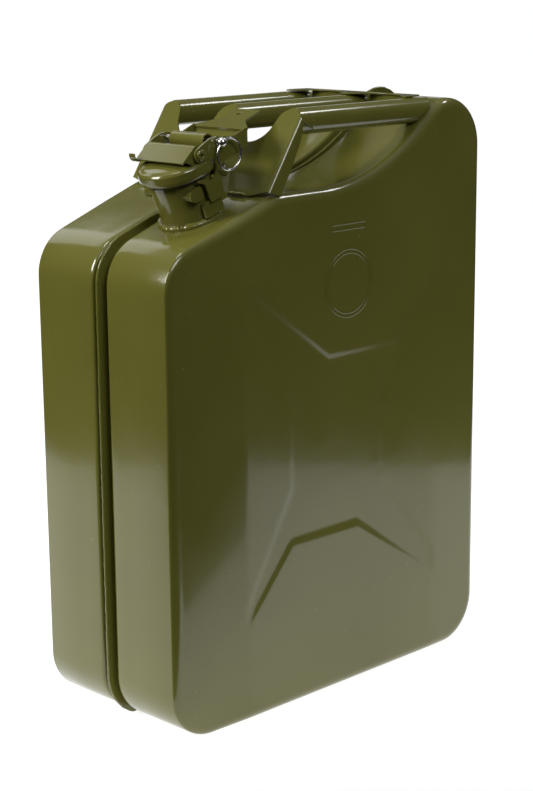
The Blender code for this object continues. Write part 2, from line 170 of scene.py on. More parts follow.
def closure_cross(s, n):
    return CLOSURE @ shift(0, s, n) @ turn(90, "Y")


# ---------------------------------------------------------------- camera, light and floor


def camera():
    data = bpy.data.cameras.new("camera")
    data.sensor_width = 36.0
    data.lens = CAMERA_LENS
    data.shift_x = -0.0047
    data.shift_y = 0.0052
    obj = bpy.data.objects.new("camera", data)
    look = turn(CAMERA_AZIMUTH, "Z") @ turn(90 - CAMERA_DOWN, "X") @ turn(CAMERA_ROLL, "Z")
    obj.matrix_world = Matrix.Translation(CAMERA_AT) @ look
    bpy.context.scene.collection.objects.link(obj)
    bpy.context.scene.camera = obj


def world():
    """White where the camera looks past the floor, and a dim room with a bright ceiling in reflections."""
    made = bpy.data.worlds.new("studio")
    bpy.context.scene.world = made
    made.use_nodes = True
    tree = made.node_tree
    tree.nodes.clear()
    place = tree.nodes.new("ShaderNodeTexCoord")
    split = tree.nodes.new("ShaderNodeSeparateXYZ")
    tree.links.new(place.outputs["Generated"], split.inputs[0])
    ramp = tree.nodes.new("ShaderNodeValToRGB")
    tree.links.new(split.outputs["Z"], ramp.inputs[0])
    stops = ramp.color_ramp.elements
    stops[0].position, stops[0].color = 0.0, (0.02, 0.02, 0.02, 1)
    stops[1].position, stops[1].color = 1.0, (0.6, 0.62, 0.65, 1)
    for position, level in ((0.35, 0.04), (0.60, 0.14), (0.85, 0.45)):
        stop = stops.new(position)
        stop.color = (level, level, level, 1)
    room = tree.nodes.new("ShaderNodeBackground")
    tree.links.new(ramp.outputs[0], room.inputs["Color"])
    room.inputs["Strength"].default_value = 0.75
    white = tree.nodes.new("ShaderNodeBackground")
    white.inputs["Color"].default_value = (1, 1, 1, 1)
    path = tree.nodes.new("ShaderNodeLightPath")
    mix = tree.nodes.new("ShaderNodeMixShader")
    tree.links.new(path.outputs["Is Camera Ray"], mix.inputs[0])
    tree.links.new(room.outputs[0], mix.inputs[1])
    tree.links.new(white.outputs[0], mix.inputs[2])
    out = tree.nodes.new("ShaderNodeOutputWorld")
    tree.links.new(mix.outputs[0], out.inputs["Surface"])


def area_light(name, at, target, size, power, tint=(1, 1, 1)):
    data = bpy.data.lights.new(name, "AREA")
    data.shape = "RECTANGLE"
    data.size, data.size_y = size
    data.energy = power
    data.color = tint
    obj = bpy.data.objects.new(name, data)
    obj.location = at
    obj.rotation_mode = "QUATERNION"
    obj.rotation_quaternion = (Vector(target) - Vector(at)).to_track_quat("-Z", "Y")
    obj.visible_camera = False
    bpy.context.scene.collection.objects.link(obj)


def lights():
    area_light("key", (-0.9, -2.1, 1.5), (0, 0, 0.25), (0.9, 0.9), 52, (1.0, 0.98, 0.93))
    area_light("fill", (2.2, -0.7, 1.9), (0, 0, 0.25), (1.2, 0.8), 24)
    area_light("rear", (-2.12, 0.26, 1.85), (0, 0, 0.35), (1.3, 0.9), 4.5)
    area_light("top", (-0.3, -0.5, 2.4), (0, 0, 0.3), (0.5, 0.5), 12)
    area_light("edge", (0.45, 1.5, 2.0), (0, 0, 0.4), (0.45, 0.2), 4.5)
    area_light("back", (-1.6, 1.7, 1.0), (0, 0, 0.45), (1.0, 0.4), 1.0)


def floor():
    mesh = bmesh.new()
    along = turn(BAND_DEG, "Z")
    corners = [(BAND_LEFT, -BAND_FRONT), (BAND_RIGHT, -BAND_FRONT), (BAND_RIGHT, BAND_BACK)]
    corners.append((BAND_LEFT, BAND_BACK))
    mesh.faces.new([mesh.verts.new(along @ Vector((x, y, -0.0004))) for x, y in corners])
    data = bpy.data.meshes.new("floor")
    mesh.to_mesh(data)
    mesh.free()
    obj = bpy.data.objects.new("floor", data)
    bpy.context.scene.collection.objects.link(obj)
    look = bpy.data.materials.new("floor_paper")
    look.use_nodes = True
    shader = look.node_tree.nodes["Principled BSDF"]
    shader.inputs["Base Color"].default_value = (0.4, 0.4, 0.4, 1)
    shader.inputs["Roughness"].default_value = 0.9
    shader.inputs["Specular IOR Level"].default_value = 0.1
    shader.inputs["Emission Color"].default_value = (1, 1, 1, 1)
    shader.inputs["Emission Strength"].default_value = 0.9
    data.materials.append(look)


# ---------------------------------------------------------------- materials


def node(tree, kind, values=(), **settings):
    made = tree.nodes.new(kind)
    for name, value in settings.items():
        setattr(made, name, value)
    for key, value in dict(values).items():
        made.inputs[key].default_value = value
    return made


def noise_value(tree, place, scale, detail, low, high, to_low, to_high):
    """A noise texture, with its values from low to high stretched to to_low to to_high."""
    texture = node(tree, "ShaderNodeTexNoise", {"Scale": scale, "Detail": detail})
    tree.links.new(place.outputs["Object"], texture.inputs["Vector"])
    values = {"From Min": low, "From Max": high, "To Min": to_low, "To Max": to_high}
    stretch = node(tree, "ShaderNodeMapRange", values)
    tree.links.new(texture.outputs["Fac"], stretch.inputs["Value"])
    return stretch.outputs["Result"]


def bumped(tree, shader, layers):
    """Chains bump layers of (height socket, distance) into the shader's normal."""
    last = None
    for height, distance in layers:
        bump = node(tree, "ShaderNodeBump", {"Strength": 1.0, "Distance": distance})
        tree.links.new(height, bump.inputs["Height"])
        if last:
            tree.links.new(last.outputs["Normal"], bump.inputs["Normal"])
        last = bump
    tree.links.new(last.outputs["Normal"], shader.inputs["Normal"])


def blended(tree, amount, first, second):
    mix = node(tree, "ShaderNodeMix", data_type="RGBA")
    tree.links.new(amount, mix.inputs["Factor"])
    for socket, value in ((mix.inputs[6], first), (mix.inputs[7], second)):
        if isinstance(value, tuple):
            socket.default_value = (*value, 1)
        else:
            tree.links.new(value, socket)
    return mix.outputs[2]


def paint(name, peel, nib_and_glint_amount):
    """Gloss olive enamel: slow colour drift, raised dust nibs coloured lighter as painted glints, orange
    peel and a slightly wavy coat.
    """
    look = bpy.data.materials.new(name)
    look.use_nodes = True
    tree = look.node_tree
    shader = tree.nodes["Principled BSDF"]
    place = node(tree, "ShaderNodeTexCoord")
    drift = noise_value(tree, place, 9.0, 3.0, 0.3, 0.7, 0.0, 1.0)
    colour = blended(tree, drift, (0.112, 0.110, 0.0195), (0.132, 0.129, 0.0245))
    # Sparse small specks: real raised nibs in the bump, and a lighter olive colour on them that is a
    # painted highlight standing in for glints.
    nibs_and_glints = noise_value(tree, place, 420.0, 1.0, 0.76, 0.82, 0.0, nib_and_glint_amount)
    colour = blended(tree, nibs_and_glints, colour, (0.26, 0.25, 0.12))
    tree.links.new(colour, shader.inputs["Base Color"])
    dull = noise_value(tree, place, 26.0, 4.0, 0.3, 0.75, 0.13, 0.20)
    tree.links.new(dull, shader.inputs["Roughness"])
    shader.inputs["Coat Weight"].default_value = 0.2
    shader.inputs["Coat Roughness"].default_value = 0.06
    shader.inputs["Coat IOR"].default_value = 1.5
    fine = noise_value(tree, place, 620.0, 2.0, 0.0, 1.0, 0.0, 1.0)
    wave = noise_value(tree, place, 70.0, 2.0, 0.0, 1.0, 0.0, 1.0)
    bumped(tree, shader, ((fine, peel * MM), (wave, 0.06 * MM), (nibs_and_glints, 0.05 * MM)))
    return look


def steel():
    """Bright zinc-plated wire, with a fine grain and dull patches."""
    look = bpy.data.materials.new("plated_steel")
    look.use_nodes = True
    tree = look.node_tree
    shader = tree.nodes["Principled BSDF"]
    shader.inputs["Metallic"].default_value = 1.0
    place = node(tree, "ShaderNodeTexCoord")
    patch = noise_value(tree, place, 300.0, 4.0, 0.35, 0.7, 0.0, 1.0)
    colour = blended(tree, patch, (0.80, 0.80, 0.79), (0.55, 0.54, 0.51))
    tree.links.new(colour, shader.inputs["Base Color"])
    dull = noise_value(tree, place, 900.0, 3.0, 0.3, 0.7, 0.14, 0.34)
    tree.links.new(dull, shader.inputs["Roughness"])
    fine = noise_value(tree, place, 1800.0, 2.0, 0.0, 1.0, 0.0, 1.0)
    bumped(tree, shader, ((fine, 0.01 * MM),))
    return look


def rubber():
    look = bpy.data.materials.new("moulded_rubber")
    look.use_nodes = True
    tree = look.node_tree
    shader = tree.nodes["Principled BSDF"]
    place = node(tree, "ShaderNodeTexCoord")
    bloom = noise_value(tree, place, 140.0, 4.0, 0.35, 0.75, 0.0, 1.0)
    colour = blended(tree, bloom, (0.010, 0.010, 0.011), (0.030, 0.029, 0.028))
    tree.links.new(colour, shader.inputs["Base Color"])
    dull = noise_value(tree, place, 200.0, 3.0, 0.3, 0.7, 0.45, 0.7)
    tree.links.new(dull, shader.inputs["Roughness"])
    grain = noise_value(tree, place, 1500.0, 2.0, 0.0, 1.0, 0.0, 1.0)
    bumped(tree, shader, ((grain, 0.02 * MM),))
    return look


camera()
world()
lights()
floor()
ENAMEL = paint("olive_enamel", 0.011, 0.8)
# The weld's enamel has a rougher peel and more of the lighter specks, which are painted glints.
WELD = paint("olive_enamel_on_weld", 0.05, 1.0)
STEEL = steel()
RUBBER = rubber()


# ---------------------------------------------------------------- mesh tools


def link(name, data, look, matrix):
    obj = bpy.data.objects.new(name, data)
    obj.matrix_world = matrix
    bpy.context.scene.collection.objects.link(obj)
    if look:
        data.materials.append(look)
    return obj


def from_bmesh(name, mesh, look, matrix):
    """Links a bmesh as one object, with its points given in millimetres."""
    bmesh.ops.scale(mesh, vec=(MM, MM, MM), verts=mesh.verts)
    data = bpy.data.meshes.new(name)
    mesh.to_mesh(data)
    mesh.free()
    return link(name, data, look, matrix)


def path_curve(points, closed=False):
    data = bpy.data.curves.new("path", "CURVE")
    data.dimensions = "3D"
    line = data.splines.new("POLY")
    line.points.add(len(points) - 1)
    for place, spot in zip(line.points, points):
        place.co = (*(Vector(spot).to_3d() * MM), 1.0)
    line.use_cyclic_u = closed
    curve = bpy.data.objects.new("path", data)
    bpy.context.scene.collection.objects.link(curve)
    return curve


def from_curve(name, curve, look, matrix):
    """Swaps a curve object for a mesh object whose caps are welded to its sides."""
    graph = bpy.context.evaluated_depsgraph_get()
    data = bpy.data.meshes.new_from_object(curve.evaluated_get(graph))
    bpy.data.objects.remove(curve, do_unlink=True)
    welded = bmesh.new()
    welded.from_mesh(data)
    bmesh.ops.remove_doubles(welded, verts=welded.verts, dist=0.001 * MM)
    bmesh.ops.recalc_face_normals(welded, faces=welded.faces)
    welded.to_mesh(data)
    welded.free()
    data.materials.clear()
    return link(name, data, look, matrix)


def flat(name, outline, thick, look, matrix):
    """A flat outline in the piece's own XY plane, with half its thickness on each side."""
    curve = path_curve(outline, closed=True)
    curve.data.dimensions = "2D"
    curve.data.fill_mode = "BOTH"
    curve.data.extrude = thick / 2 * MM
    return from_curve(name, curve, look, matrix)


def bent_sheet(name, path, thick, width, look, matrix):
    """A sheet bent along a path in its own XY plane, its width along its own Z axis."""
    curve = path_curve(path)
    curve.data.extrude = width / 2 * MM
    sheet = from_curve(name, curve, look, matrix)
    skin = sheet.modifiers.new("Sheet", "SOLIDIFY")
    skin.thickness = thick * MM
    skin.offset = 0.0
    skin.use_even_offset = True
    return sheet


def turned(name, profile, look, matrix, steps=SMOOTH_STEPS):
    """A (radius, height) profile turned about its own Z axis. Its outer side runs from top to bottom."""
    mesh = bmesh.new()
    points = [mesh.verts.new((radius, 0, height)) for radius, height in profile]
    for first, second in zip(points, points[1:]):
        mesh.edges.new((first, second))
    if profile[0][0] > 0:
        mesh.edges.new((points[-1], points[0]))
    obj = from_bmesh(name, mesh, look, matrix)
    screw = obj.modifiers.new("Turn", "SCREW")
    screw.steps = steps
    screw.render_steps = steps
    screw.use_merge_vertices = True
    screw.merge_threshold = 0.00001
    return obj


def cylinder(radius, length, matrix, segments=48):
    mesh = bmesh.new()
    bmesh.ops.create_cone(
        mesh, cap_ends=True, segments=segments, radius1=radius, radius2=radius, depth=length
    )
    return from_bmesh("cutter", mesh, None, matrix)


def block(size, matrix):
    mesh = bmesh.new()
    bmesh.ops.create_cube(mesh, size=size)
    return from_bmesh("cutter", mesh, None, matrix)


def evaluate(obj):
    """Swaps an object's mesh for its evaluated one."""
    graph = bpy.context.evaluated_depsgraph_get()
    graph.update()
    data = bpy.data.meshes.new_from_object(obj.evaluated_get(graph))
    obj.modifiers.clear()
    old = obj.data
    obj.data = data
    bpy.data.meshes.remove(old)


def combine(obj, others, operation):
    """Joins or cuts the object with others, which are used up."""
    for other in others:
        step = obj.modifiers.new("Join", "BOOLEAN")
        step.operation = operation
        step.solver = "EXACT"
        step.object = other
        evaluate(obj)
        bpy.data.objects.remove(other, do_unlink=True)
    return obj


def rounded(obj, radius, segments=2, angle=32):
    """Rounds the sharp edges, as a stamped and painted edge is, and shades the rest smooth."""
    evaluate(obj)
    tidy = bmesh.new()
    tidy.from_mesh(obj.data)
    bmesh.ops.remove_doubles(tidy, verts=tidy.verts, dist=0.02 * MM)
    bmesh.ops.dissolve_limit(
        tidy, angle_limit=math.radians(0.6), verts=tidy.verts, edges=tidy.edges, delimit=set()
    )
    tidy.to_mesh(obj.data)
    tidy.free()
    obj.data.shade_smooth()
    bevel = obj.modifiers.new("Edge", "BEVEL")
    bevel.width = radius * MM
    bevel.segments = segments
    bevel.limit_method = "ANGLE"
    bevel.angle_limit = math.radians(angle)
    bevel.use_clamp_overlap = True
    obj.modifiers.new("Normals", "WEIGHTED_NORMAL").keep_sharp = True
    return obj


def smooth(obj, angle=40):
    evaluate(obj)
    obj.data.shade_smooth()
    obj.data.set_sharp_from_angle(angle=math.radians(angle))
    return obj


def done(obj, body, *nodes):
    """Rides the piece on its body and, where nodes are given, shows it in their place."""
    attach(obj, body)
    if nodes:
        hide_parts(*nodes)
    return obj


def arc(centre, radius, start, end, steps):
    """Points and outward directions on an arc, angles in degrees; a negative radius faces inwards."""
    found = []
    for k in range(steps + 1):
        a = math.radians(start + (end - start) * k / steps)
        out = Vector((math.cos(a), math.sin(a)))
        point = Vector(centre) + abs(radius) * out
        found.append((point, out if radius > 0 else -out))
    return found


def curl(centre, radius, start, end, steps):
    return [tuple(point) for point, _ in arc(centre, radius, start, end, steps)]


def filleted(points, radius, closed=False, steps=4):
    """The path with its corners rounded, by less where a neighbour is near."""
    spots = [Vector(p) for p in points]
    count = len(spots)
    found = []
    for i, here in enumerate(spots):
        if not closed and i in (0, count - 1):
            found.append(tuple(here))
            continue
        before, after = spots[i - 1] - here, spots[(i + 1) % count] - here
        half = before.angle(after) / 2
        cut = min(radius / max(math.tan(half), 1e-3), 0.45 * before.length, 0.45 * after.length)
        start, end = here + before.normalized() * cut, here + after.normalized() * cut
        for k in range(steps + 1):
            t = k / steps
            found.append(tuple(start.lerp(here, t).lerp(here.lerp(end, t), t)))
    return found


# ---------------------------------------------------------------- the two half shells


def run(start, end, out, step):
    """Points along a straight stretch, without its two ends."""
    count = max(2, round((end - start).length / step))
    return [(start.lerp(end, k / count), out) for k in range(1, count)]


def side_profile(step):
    """The can's outline from its wide side, as (y, z) points with outward directions."""
    rear = HALF_DEPTH
    end = rear - CORNER_R
    hump = (rear - HUMP_R, HUMP_Z - HUMP_R)
    rise = math.radians(HUMP_DEG)
    top = HUMP_Z - HUMP_R + HUMP_R * math.cos(rise)
    dip_r = (top - RECESS_Z) / (1 - math.cos(rise))
    dip_y = hump[0] - HUMP_R * math.sin(rise) - dip_r * math.sin(rise)
    tilt = math.radians(SHOULDER_DEG)
    foot_y = NECK_Y + (RECESS_Z - NECK_Z) / math.tan(tilt)
    bend_y = foot_y + BEND_R * math.tan(tilt / 2)
    nose_y = -rear + NOSE_R
    slope_y = nose_y - NOSE_R * math.sin(tilt)
    nose_z = NECK_Z + math.tan(tilt) * (slope_y - NECK_Y) - NOSE_R * math.cos(tilt)
    arcs = [
        ((-end, CORNER_R), CORNER_R, 180, 270),
        ((end, CORNER_R), CORNER_R, 270, 360),
        (hump, HUMP_R, 0, 90 + HUMP_DEG),
        ((dip_y, RECESS_Z + dip_r), -dip_r, HUMP_DEG - 90, -90),
        ((bend_y, RECESS_Z - BEND_R), BEND_R, 90, 90 + SHOULDER_DEG),
        ((nose_y, nose_z), NOSE_R, 90 + SHOULDER_DEG, 180),
    ]
    found = []
    for centre, radius, first, last in arcs:
        steps = max(4, round(abs(radius) * math.radians(abs(last - first)) / step))
        piece = arc(centre, radius, first, last, steps)
        if found and (piece[0][0] - found[-1][0]).length < 0.5:
            piece = piece[1:]
        elif found:
            found += run(found[-1][0], piece[0][0], piece[0][1], step)
        found += piece
    return found + run(found[-1][0], found[0][0], found[0][1], step)


def flange_height(point, out):
    """How far the seam flange stands out past the wall at this point of the outline."""
    y, z = point
    if out.y < -0.999:
        return -1.0
    if z < CORNER_R:
        return min(FLANGE_OUT, (z - 0.4) / max(-out.y, 0.05))
    if z < REAR_FADE_Z:
        return FLANGE_OUT
    if y > 0:
        if out.y < 0:
            return -1.0
        dome = DOME_HIGH * (1 - ((y - DOME_Y) / DOME_HALF) ** 2)
        return max(-1.0, FLANGE_OUT - 0.06 * (z - REAR_FADE_Z), dome)
    if z < FRONT_FADE_Z:
        return FLANGE_OUT
    return max(-1.0, FLANGE_OUT - 0.18 * (z - FRONT_FADE_Z)) if y < -60.0 else -1.0


def soft_step(t):
    t = min(1.0, max(0.0, t))
    return t * t * (3 - 2 * t)


def inside_cross(y, z):
    """1 in the recessed cross and 0 on the panels round it, with a soft slope between."""
    inside = False
    nearest = 1e9
    for (y0, z0), (y1, z1) in zip(CROSS, CROSS[1:] + CROSS[:1]):
        if (z0 > z) != (z1 > z) and y < y0 + (z - z0) * (y1 - y0) / (z1 - z0):
            inside = not inside
        dy, dz = y1 - y0, z1 - z0
        t = max(0.0, min(1.0, ((y - y0) * dy + (z - z0) * dz) / (dy * dy + dz * dz)))
        nearest = min(nearest, math.hypot(y - y0 - t * dy, z - z0 - t * dz))
    return soft_step(0.5 + (nearest if inside else -nearest) / (2 * CROSS_SOFT))


def crease_fall(y):
    """How far the face has dropped past its two creases."""
    fall = 0.0
    for at, side, degrees in CREASES:
        past = side * (y - at)
        fall += math.tan(math.radians(degrees)) * (past + math.hypot(past, 1.5)) / 2
    return fall


def face_x(y, z):
    """The wide face's distance from the seam plane."""
    return FACE_X - crease_fall(y) - CROSS_DEEP * inside_cross(y, z)


def face_rows(outline, rings):
    """The wide face: rings of (x, y, z) points from its middle out to its rim."""
    for k in range(rings):
        share = (k + 1) / (rings + 1)
        spots = [FACE_CENTRE.lerp(point - out * EDGE_R, share) for point, out in outline]
        yield [(face_x(*spot), *spot) for spot in spots]


def edge_rows(outline):
    """The rounding from the wide face to the narrow wall."""
    for degrees in range(0, 91, 9):
        a = math.radians(degrees)
        row = []
        for point, out in outline:
            fall = HALF_WIDTH - face_x(*(point - out * EDGE_R))
            x = HALF_WIDTH - EDGE_R * (1 - math.cos(a)) - fall * math.cos(a)
            row.append((x, *(point - out * EDGE_R * (1 - math.sin(a)))))
        yield row


def wall_rows(outline):
    """The narrow wall, the groove beside the seam and the flange that stands up in it."""
    lips = [(35.0, 0.0), (20.0, 0.0), (GROOVE_HALF + LIP_R + 1.0, 0.0)]
    for a in (0.4, 0.8, 1.2, math.pi / 2):
        lips.append((GROOVE_HALF + LIP_R * (1 - math.sin(a)), LIP_R * (1 - math.cos(a))))
    lips += [(GROOVE_HALF, GROOVE_DEEP - 1.0), (GROOVE_HALF - 1.0, GROOVE_DEEP)]
    lips += [(SEAM_GAP + WALL + 1.0, GROOVE_DEEP), (SEAM_GAP + WALL, GROOVE_DEEP - 1.0)]
    for x, inset in lips:
        yield [(x, *(point - out * inset)) for point, out in outline]
    heights = [flange_height(point, out) - BEAD_R for point, out in outline]
    yield [(SEAM_GAP + WALL, *(p + out * high)) for (p, out), high in zip(outline, heights)]


def half_shell(name, side, step, rings):
    """One pressed half, lofted from the middle of its wide face round to the seam flange."""
    outline = side_profile(step)
    mesh = bmesh.new()
    rows = []
    for band in (face_rows(outline, rings), edge_rows(outline), wall_rows(outline)):
        rows += [[mesh.verts.new((side * x, y, z)) for x, y, z in row] for row in band]
    middle = mesh.verts.new((side * face_x(*FACE_CENTRE), *FACE_CENTRE))
    count = len(outline)
    for i in range(count):
        mesh.faces.new((middle, rows[0][i], rows[0][(i + 1) % count]))
    for lower, upper in zip(rows, rows[1:]):
        for i in range(count):
            j = (i + 1) % count
            mesh.faces.new((lower[i], lower[j], upper[j], upper[i]))
    bmesh.ops.recalc_face_normals(mesh, faces=mesh.faces)
    if sum(face.normal.x * face.calc_area() for face in mesh.faces) * side < 0:
        bmesh.ops.reverse_faces(mesh, faces=mesh.faces)
    obj = from_bmesh(name, mesh, ENAMEL, Matrix())
    skin = obj.modifiers.new("Wall", "SOLIDIFY")
    skin.thickness = WALL * MM
    skin.offset = -1.0
    return obj


def shells():
    step, rings = ((4.0, 66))
    left = half_shell("half_shell_left_skin", -1, step, rings)
    right = half_shell("half_shell_right_skin", 1, step, rings)
    combine(right, [cylinder(FOOT_R + 0.2, 28.0, CLOSURE)], "DIFFERENCE")
    done(smooth(left), "can", "half_shell_left")
    done(smooth(right), "can", "half_shell_right")


def bead(name, path, radius, rough, closed, seed, ring=10):
    """A weld bead swept along 3D points, its radius and centre wandering as a hand weld's do."""
    spots = [Vector(p) for p in path]
    count = len(spots)
    mesh = bmesh.new()
    rows = []
    for i, here in enumerate(spots):
        after = spots[(i + 1) % count] if closed or i + 1 < count else here
        before = spots[i - 1] if closed or i else here
        along = (after - before).normalized()
        first = along.orthogonal() if abs(along.x) > 0.9 else along.cross(Vector((1, 0, 0)))
        first.normalize()
        second = along.cross(first)
        wander = noise.noise(here * 0.45 + Vector((seed, 0, 0)))
        end = 1.0 if closed else min(1.0, 0.35 + 0.5 * min(i, count - 1 - i))
        row = []
        for k in range(ring):
            a = 2 * math.pi * k / ring
            lump = noise.noise(here * 0.8 + Vector((0, seed, k * 0.35)))
            reach = radius * end * (1 + rough * (0.6 * wander + 0.6 * lump))
            place = here + (first * math.cos(a) + second * math.sin(a)) * reach
            row.append(mesh.verts.new(place))
        rows.append(row)
    pairs = list(zip(rows, rows[1:])) + ([(rows[-1], rows[0])] if closed else [])
    for lower, upper in pairs:
        for k in range(ring):
            n = (k + 1) % ring
            mesh.faces.new((lower[k], lower[n], upper[n], upper[k]))
    if not closed:
        mesh.faces.new(rows[0][::-1])
        mesh.faces.new(rows[-1])
    bmesh.ops.recalc_face_normals(mesh, faces=mesh.faces)
    obj = from_bmesh(name, mesh, WELD, Matrix())
    return smooth(obj, 60)


def seam_weld():
    """The welded tip of the two flanges, all the way round the can."""
    path = []
    for point, out in side_profile(2.0):
        place = point + out * (flange_height(point, out) - BEAD_R - 0.5)
        path.append((0.0, *place))
    return done(bead("seam_weld", path, BEAD_R, 0.4, True, 3.0), "can")


def face_marks():
    """The raised bar and the double ring on each wide face, each a rounded line on the metal."""
    for side, name in ((-1, "left"), (1, "right")):
        x = side * (FACE_X - 0.35)
        for which, radius in (("outer", 26.5), ("inner", 23.5)):
            ring = [(x, MARK_Y + a, MARK_Z + b) for a, b in curl((0, 0), radius, 0, 354, 59)]
            mark_line(f"mark_ring_{which}_{name}", ring)
        half, end_r = 17.0, 2.2
        slot = curl((half, 0), end_r, -90, 90, 8) + curl((-half, 0), end_r, 90, 270, 8)
        bar = [(x, MARK_Y + a, MARK_Z + 44.0 + b) for a, b in slot]
        mark_line(f"mark_bar_{name}", bar)


def mark_line(name, points):
    curve = path_curve(points, closed=True)
    curve.data.bevel_depth = 0.74 * MM
    curve.data.bevel_resolution = 2
    done(smooth(from_curve(name, curve, ENAMEL, Matrix())), "can")


# ---------------------------------------------------------------- the neck and its fittings


def neck():
    lip = NECK_R + 1.5
    inner = NECK_R - NECK_WALL
    rim = filleted([(inner, 36.0), (NECK_R, 37.2), (lip, 36.2), (lip, 34.6), (NECK_R, 33.5)], 0.6)
    profile = rim[1:] + [(NECK_R, 22.0), (FOOT_R, 3.0), (FOOT_R, -8.0), (FOOT_R - NECK_WALL, -8.0)]
    profile += [(FOOT_R - NECK_WALL, 3.0), (inner, 22.0), (inner, 36.0)]
    tube = turned("neck_tube", profile, ENAMEL, CLOSURE)
    lug = [(-3.0, 19.0), (-3.0, 29.6), (-11.0, 29.8), (-14.4, 27.6)]
    lug += [(-15.6, 24.4), (-14.6, 21.0), (-11.6, 19.0)]
    lug = filleted(lug, 3.5, closed=True)
    lugs = [flat("lug", lug, 9.4, None, closure_side(x)) for x in (-20.6, 20.6)]
    combine(tube, lugs, "UNION")
    combine(tube, [cylinder(inner, 20.0, CLOSURE @ shift(0, 0, 27))], "DIFFERENCE")
    return done(rounded(tube, 0.9, 3, 40), "can", "neck")


def neck_weld():
    """The fillet bead round the neck's foot."""
    steps, reach, high = 150, (FOOT_R + 1.2) * MM, 0.9 * MM
    path = []
    for k in range(steps):
        a = 2 * math.pi * k / steps
        path.append(CLOSURE @ Vector((reach * math.cos(a), reach * math.sin(a), high)) / MM)
    return done(bead("neck_weld_bead", path, 2.6, 0.5, True, 11.0, ring=12), "can", "neck_weld")


def neck_bracket():
    strap = [(24.8, 15.0), (24.8, 3.8), (23.15, 3.8), (23.15, 15.0)]
    ring = turned("neck_strap", strap, ENAMEL, CLOSURE)
    combine(ring, [block(60.0, CLOSURE @ shift(0, -36.0, 10))], "DIFFERENCE")
    plate = filleted([(-6.8, 4.2), (11.5, 4.2), (11.5, 16.0), (-4.5, 16.0), (-6.8, 13.5)], 1.5, True)
    ear = [(20.4, 4.4), (27.0, 4.4), (35.8, 20.0), (36.2, 25.5), (33.0, 29.2)]
    ear += [(29.0, 29.2), (25.6, 25.0), (20.4, 14.4)]
    ear = filleted(ear, 4.0, True)
    pieces = [flat("plate", plate, 2.1, None, closure_side(x)) for x in (-25.15, 25.15)]
    pieces += [flat("ear", ear, 1.6, None, closure_side(x)) for x in (-13.0, 13.0)]
    combine(ring, pieces, "UNION")
    combine(ring, [cylinder(PIN_HOLE_R, 40.0, closure_cross(HINGE_S, HINGE_N))], "DIFFERENCE")
    return done(rounded(ring, 0.35), "can", "neck_bracket")


def hinge_pin():
    profile = [(0, 15.6), (2.4, 15.4), (3.4, 15.0), (3.9, 14.5), (3.9, 14.1), (PIN_R, 14.1)]
    profile += [(PIN_R, -14.1), (3.9, -14.1), (3.9, -14.5), (3.4, -15.0), (2.4, -15.4), (0, -15.6)]
    obj = turned("hinge_rivet", profile, ENAMEL, closure_cross(HINGE_S, HINGE_N), 32)
    return done(smooth(obj), "can", "hinge_pin")


# ---------------------------------------------------------------- the lid


def lid():
    """The cap: a low dome, a rolled top edge and a skirt that flares a little at its hem."""
    outer = [(9, 47.5), (17, 47.1), (23.6, 46.4), (27.4, 45.3), (28.7, 43.4), (28.8, 39.4)]
    outer = [(0, 47.6)] + filleted(outer, 1.6) + [(LID_R, 36.3), (LID_R - 0.4, 35.9)]
    inner = [(LID_R - 1.0, 36.2), (LID_R - 1.3, 39.4), (27.3, 43.0), (26.4, 44.2), (23.2, 45.3)]
    inner += [(16.5, 46.0), (9, 46.3), (0, 46.4)]
    return done(smooth(turned("lid_cap", outer + inner, ENAMEL, CLOSURE), 50), "lid", "lid")


def lid_gasket():
    profile = [(25.0, 40.8), (27.0, 38.6), (27.3, 37.6), (27.3, 35.0), (26.9, 34.4), (26.3, 34.3)]
    profile += [(25.7, 34.5), (25.4, 35.2), (25.4, 37.2), (24.8, 37.6), (19.6, 37.6), (19.6, 40.8)]
    return done(smooth(turned("gasket", profile, RUBBER, CLOSURE), 45), "lid", "lid_gasket")


def gasket_retainer():
    profile = [(0, 46.0), (4.0, 45.8), (4.0, 39.8), (18.4, 39.8), (19.1, 39.2), (19.3, 38.3)]
    profile += [(19.0, 37.8), (18.2, 38.3), (12.0, 38.4), (8.0, 37.4), (5.0, 37.2), (0, 37.2)]
    return done(smooth(turned("retainer_plate", profile, ENAMEL, CLOSURE), 40), "lid", "gasket_retainer")


def lid_saddle():
    path = [(-13.6, 50.4), (1.6, 57.0), (5.6, 55.6), (7.4, 50.2), (10.0, 49.6)]
    top = bent_sheet("saddle", filleted(path, 3.0), 1.4, 50.8, ENAMEL, closure_side(0))
    flange = [(-11.0, 50.6), (-6.0, 45.8), (6.2, 45.8), (8.2, 48.5), (6.0, 54.8), (1.6, 56.6)]
    flange = filleted(flange, 1.5, True)
    pieces = [flat("flange", flange, 1.4, None, closure_side(x)) for x in (-24.7, 24.7)]
    strap = filleted([(7.0, 49.6), (22.0, 48.9), (28.6, 45.9), (31.6, 40.0), (34.5, 30.0)], 4.0)
    strap += curl((HINGE_S, HINGE_N), 3.4, 20, -250, 22)
    pieces.append(bent_sheet("strap", strap, 1.4, 23.6, None, closure_side(0)))
    wing = curl((-13.0, 54.6), 4.6, 262, 150, 10)
    pieces.append(bent_sheet("wing", wing, 1.3, 5.4, None, closure_side(-23.5)))
    combine(top, pieces, "UNION")
    combine(top, [cylinder(PIN_HOLE_R, 80.0, closure_cross(PIVOT_S, PIVOT_N))], "DIFFERENCE")
    return done(rounded(top, 0.3), "lid", "lid_saddle")


def lever_pin():
    profile = [(PIN_R, 28.8), (PIN_R, -28.8), (4.1, -28.8), (4.1, -29.3), (3.6, -30.0)]
    profile += [(2.6, -30.2), (1.7, -29.9), (1.3, -29.2), (1.3, 29.2), (1.7, 29.9), (2.6, 30.2)]
    profile += [(3.6, 30.0), (4.1, 29.3), (4.1, 28.8)]
    obj = turned("pivot_rivet", profile, ENAMEL, closure_cross(PIVOT_S, PIVOT_N), 36)
    return done(smooth(obj, 50), "lid", "lever_pin")


# ---------------------------------------------------------------- the lever, its safety pin and ring


